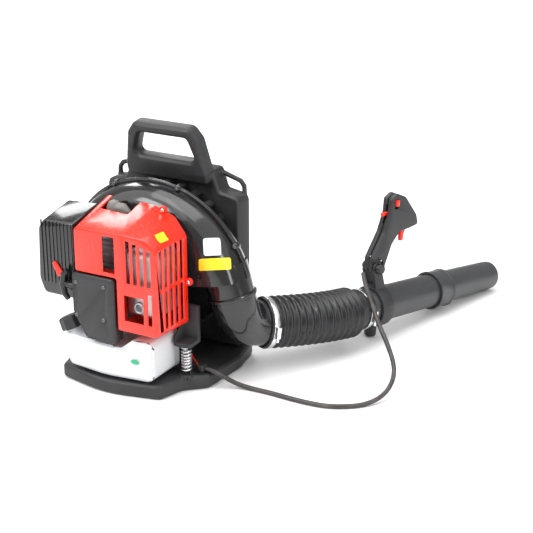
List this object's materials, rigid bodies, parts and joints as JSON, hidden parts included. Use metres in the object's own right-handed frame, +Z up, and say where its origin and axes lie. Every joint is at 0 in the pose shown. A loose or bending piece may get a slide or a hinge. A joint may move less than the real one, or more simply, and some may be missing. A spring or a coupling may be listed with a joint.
{
  "type": "backpack leaf blower",
  "caption": "Backpack petrol leaf blower with a flexible hose to a swivelling blower tube, a tilting throttle handle on the tube, and a pull starter.",
  "frame": {"origin": "on the floor under the middle of the base, below the line where the base meets the wearer side-to-side centre", "axes": "+Z up, +Y towards the wearer (the back pad side), -Y the engine side, +X the side of the blower tube"},
  "size_m": [0.6982, 0.9195, 0.4941],
  "materials": {
    "black_plastic": "fine textured, matt",
    "gloss_black": "gloss",
    "grey_plastic": "satin",
    "red_plastic": "gloss",
    "tank_white": "translucent, satin",
    "black_rubber": "matt",
    "cast_metal": "as cast",
    "bright_steel": "bright",
    "dark_steel": "oiled",
    "foam_black": "woven cover over foam",
    "ceramic_white": "glazed",
    "clear_bulb": "clear, gloss",
    "bright_red": "gloss"
  },
  "bodies": {
    "blower": {"frame_base": "black_plastic", "frame_back": "black_plastic", "back_pad": "foam_black", "spring_left": "bright_steel", "spring_right": "bright_steel", "mount_arm_left": "black_plastic", "mount_arm_right": "black_plastic", "rear_mount_left": "black_rubber", "rear_mount_right": "black_rubber", "fan_housing_front": "gloss_black", "fan_housing_rear": "gloss_black", "inlet_guard": "black_plastic", "outlet_elbow": "gloss_black", "hose_elbow_end": "black_rubber", "hose_clamp_elbow": "bright_steel", "crankcase": "cast_metal", "cylinder": "cast_metal", "piston": "cast_metal", "spark_plug": "ceramic_white", "plug_boot": "grey_plastic", "muffler": "cast_metal", "engine_cover": "red_plastic", "cover_screw_side": "dark_steel", "cover_screw_top": "dark_steel", "starter_cover": "black_plastic", "air_cleaner_cover": "black_plastic", "air_filter": "foam_black", "carburettor": "cast_metal", "fuel_tank": "tank_white", "cable_clip": "black_plastic", "throttle_cable_floor": "black_rubber", "stop_wire": "bright_red"},
    "hose_bend": {"hose_middle": "black_rubber"},
    "tube": {"hose_tube_end": "black_rubber", "hose_clamp_tube": "bright_steel", "swivel_tube": "grey_plastic", "handle_bracket": "black_plastic", "throttle_cable_rise": "black_rubber"},
    "nozzle": {"nozzle": "grey_plastic"},
    "handle": {"handle_shell_left": "black_plastic", "handle_shell_right": "black_plastic", "throttle_cable_top": "black_rubber"},
    "tilt_knob": {"tilt_bolt": "black_plastic"},
    "trigger": {"throttle_trigger": "bright_red"},
    "cruise": {"cruise_lever": "bright_red"},
    "switch": {"stop_switch": "bright_red"},
    "rotor": {"crankshaft": "bright_steel", "flywheel": "cast_metal", "impeller": "grey_plastic"},
    "pulley": {"starter_pulley": "grey_plastic"},
    "pull_grip": {"starter_pull_handle": "black_plastic"},
    "choke": {"choke_lever": "bright_red"},
    "primer": {"primer_bulb": "clear_bulb"},
    "cleaner_knob": {"air_cover_knob": "black_plastic"},
    "cap_seal": {"fuel_cap_gasket": "black_rubber"},
    "cap": {"fuel_cap": "black_plastic"}
  },
  "joints": [
    {"name": "hose_yaw", "type": "hinge", "parent": "blower", "child": "hose_bend", "pos_m": [0.25, 0.165, 0.09], "axis": [0, 0, 1], "range_deg": [-20, 23], "stiffness_Nm_per_rad": 3, "deforming": ["hose_elbow_end", "throttle_cable_floor"]},
    {"name": "hose_pitch", "type": "hinge", "parent": "hose_bend", "child": "tube", "pos_m": [0.3, 0.262, 0.079], "axis": [0.9553, -0.2957, 0], "range_deg": [0, 34], "deforming": ["hose_tube_end", "throttle_cable_rise"]},
    {"name": "nozzle_twist", "type": "hinge", "parent": "tube", "child": "nozzle", "pos_m": [0.318, 0.304, 0.075], "axis": [0.2946, 0.9516, -0.0879], "range_deg": [0, 28]},
    {"name": "handle_tilt", "type": "hinge", "parent": "tube", "child": "handle", "pos_m": [0.33772, 0.36769, 0.15947], "axis": [0.9553, -0.2957, 0], "range_deg": [-14, 40], "deforming": ["throttle_cable_top"]},
    {"name": "tilt_knob_turn", "type": "hinge", "parent": "tube", "child": "tilt_knob", "pos_m": [0.33772, 0.36769, 0.15947], "axis": [0.9553, -0.2957, 0], "range_deg": [-360, 360]},
    {"name": "trigger_pull", "type": "hinge", "parent": "handle", "child": "trigger", "pos_m": [0.36577, 0.45831, 0.23342], "axis": [0.9553, -0.2957, 0], "range_deg": [-16, 0], "stiffness_Nm_per_rad": 0.4},
    {"name": "cruise_turn", "type": "hinge", "parent": "handle", "child": "cruise", "pos_m": [0.35359, 0.41896, 0.26717], "axis": [0.9553, -0.2957, 0], "range_deg": [0, 28]},
    {"name": "stop_press", "type": "slide", "parent": "handle", "child": "switch", "axis": [-0.026, -0.0839, -0.9961], "range_m": [0, 0.005], "stiffness_N_per_m": 400},
    {"name": "rotor_spin", "type": "hinge", "parent": "blower", "child": "rotor", "pos_m": [-0.02, 0, 0.18], "axis": [0, 1, 0], "continuous": true},
    {"name": "rope_pull", "type": "slide", "parent": "blower", "child": "pull_grip", "axis": [-1, 0, 0], "range_m": [0, 0.6], "stiffness_N_per_m": 8, "springref_m": -0.2},
    {"name": "pulley_turn", "type": "hinge", "parent": "blower", "child": "pulley", "pos_m": [-0.02, -0.138, 0.18], "axis": [0, -1, 0], "range_deg": [0, 1566]},
    {"name": "choke_turn", "type": "hinge", "parent": "blower", "child": "choke", "pos_m": [-0.104, -0.129, 0.226], "axis": [0, 1, 0], "range_deg": [0, 55]},
    {"name": "primer_press", "type": "slide", "parent": "blower", "child": "primer", "axis": [0, 0, 1], "range_m": [0, 0.005], "stiffness_N_per_m": 800},
    {"name": "cleaner_knob_turn", "type": "hinge", "parent": "blower", "child": "cleaner_knob", "pos_m": [-0.16, -0.082, 0.262], "axis": [-1, 0, 0], "range_deg": [0, 720]},
    {"name": "cap_lift", "type": "slide", "parent": "blower", "child": "cap_seal", "axis": [-0.4067, 0, 0.9135], "range_m": [0, 0.0101]},
    {"name": "cap_turn", "type": "hinge", "parent": "cap_seal", "child": "cap", "pos_m": [-0.10202, -0.104, 0.12647], "axis": [-0.4067, 0, 0.9135], "range_deg": [0, 900]}
  ],
  "couplings": [
    {"joint": "pulley_turn", "follows": "rope_pull", "rad_per_m": 45.455},
    {"joint": "cap_lift", "follows": "cap_turn", "m_per_rad": 0.00063662}
  ]
}
